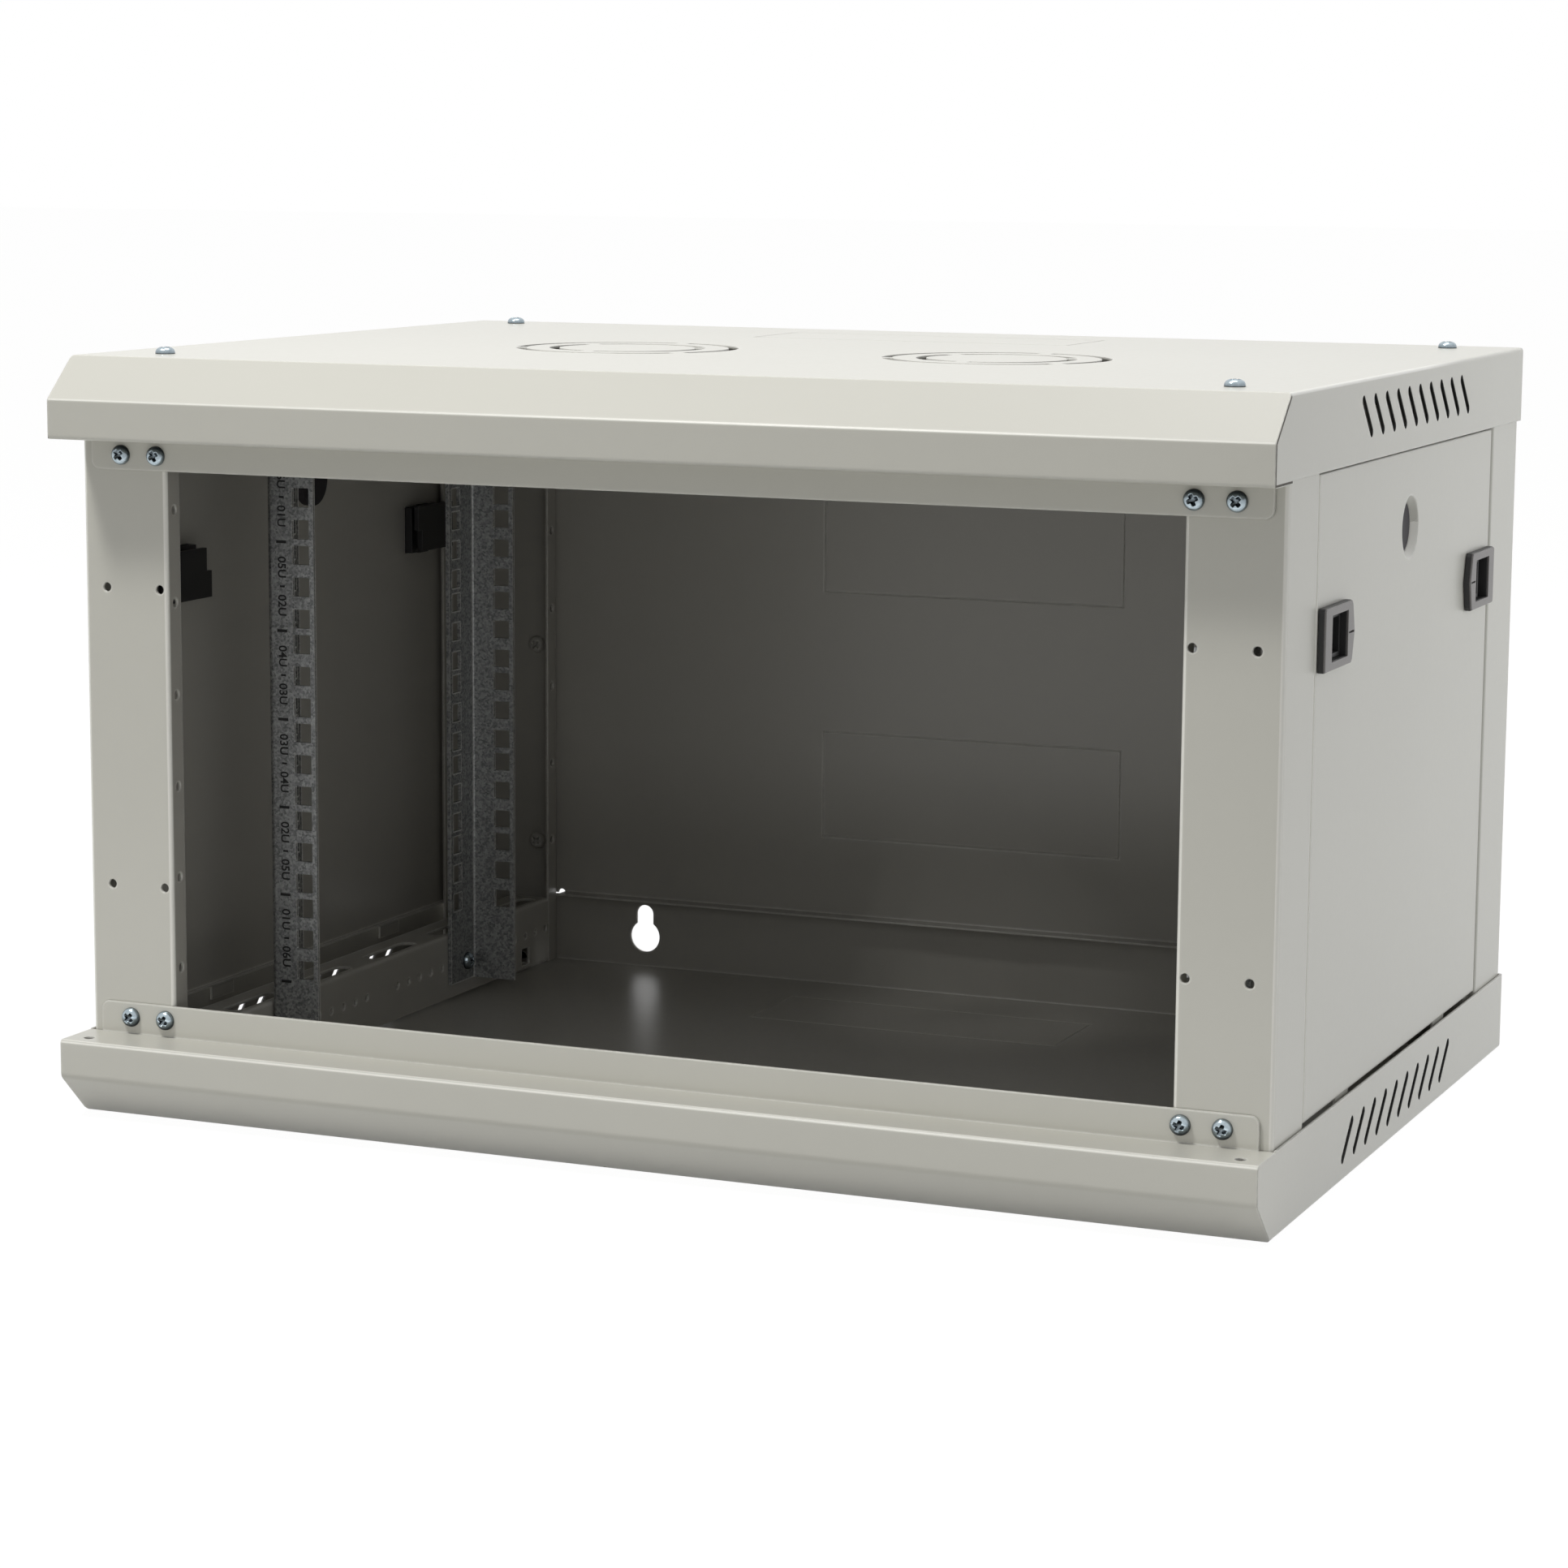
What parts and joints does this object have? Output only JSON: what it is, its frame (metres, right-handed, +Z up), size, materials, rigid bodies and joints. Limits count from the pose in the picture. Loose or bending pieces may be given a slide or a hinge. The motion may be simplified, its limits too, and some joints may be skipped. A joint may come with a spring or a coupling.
{
  "type": "wall mount network cabinet",
  "caption": "Open-front wall mount network cabinet: bevelled top, vented covers, square-hole rack rails, keyhole wall hooks and latched side panels that tilt off.",
  "frame": {"origin": "middle of the base, on the surface the cabinet stands on", "axes": "+X to the right of a person facing the open front, +Y into the cabinet towards the wall, +Z up"},
  "size_m": [0.6034, 0.45, 0.3709],
  "materials": {
    "light_grey_paint": "fine orange-peel powder coat, semi-matt",
    "zinc_rails": "dull spangled zinc",
    "bright_screws": "bright blue zinc",
    "black_plastic": "fine moulded grain",
    "grey_plastic": "fine moulded grain"
  },
  "bodies": {
    "cabinet": {"top_cover": "light_grey_paint", "bottom_cover": "light_grey_paint", "back_panel": "light_grey_paint", "cover_face_screws": "bright_screws", "cover_top_screws": "bright_screws", "base_screws": "bright_screws", "rail_screws": "bright_screws", "back_panel_screws": "bright_screws", "front_upright_right": "light_grey_paint", "front_upright_left": "light_grey_paint", "rear_upright_right": "light_grey_paint", "rear_upright_left": "light_grey_paint", "lower_bracket_right": "light_grey_paint", "lower_bracket_left": "light_grey_paint", "upper_bracket_right": "light_grey_paint", "upper_bracket_left": "light_grey_paint", "front_rail_right": "zinc_rails", "front_rail_left": "zinc_rails", "rear_rail_right": "zinc_rails", "rear_rail_left": "zinc_rails"},
    "panel_right": {"side_panel_right": "light_grey_paint", "lock_blank_right": "black_plastic", "front_latch_body_right": "black_plastic", "front_latch_bezel_right": "grey_plastic", "rear_latch_body_right": "black_plastic", "rear_latch_bezel_right": "grey_plastic"},
    "front_bolt_right": {"front_latch_slider_right": "black_plastic"},
    "rear_bolt_right": {"rear_latch_slider_right": "black_plastic"},
    "panel_left": {"side_panel_left": "light_grey_paint", "lock_blank_left": "black_plastic", "front_latch_body_left": "black_plastic", "front_latch_bezel_left": "grey_plastic", "rear_latch_body_left": "black_plastic", "rear_latch_bezel_left": "grey_plastic"},
    "front_bolt_left": {"front_latch_slider_left": "black_plastic"},
    "rear_bolt_left": {"rear_latch_slider_left": "black_plastic"}
  },
  "joints": [
    {"name": "panel_right_tilt", "type": "hinge", "parent": "cabinet", "child": "panel_right", "pos_m": [0.2994, 0.01015, 0.0397], "axis": [0, 1, 0], "range_deg": [0, 30]},
    {"name": "front_bolt_right_slide", "type": "slide", "parent": "panel_right", "child": "front_bolt_right", "axis": [0, -1, 0], "range_m": [0, 0.006]},
    {"name": "rear_bolt_right_slide", "type": "slide", "parent": "panel_right", "child": "rear_bolt_right", "axis": [0, 1, 0], "range_m": [0, 0.006]},
    {"name": "panel_left_tilt", "type": "hinge", "parent": "cabinet", "child": "panel_left", "pos_m": [-0.2994, 0.01015, 0.0397], "axis": [0, -1, 0], "range_deg": [0, 30]},
    {"name": "front_bolt_left_slide", "type": "slide", "parent": "panel_left", "child": "front_bolt_left", "axis": [0, -1, 0], "range_m": [0, 0.006]},
    {"name": "rear_bolt_left_slide", "type": "slide", "parent": "panel_left", "child": "rear_bolt_left", "axis": [0, 1, 0], "range_m": [0, 0.006]}
  ]
}
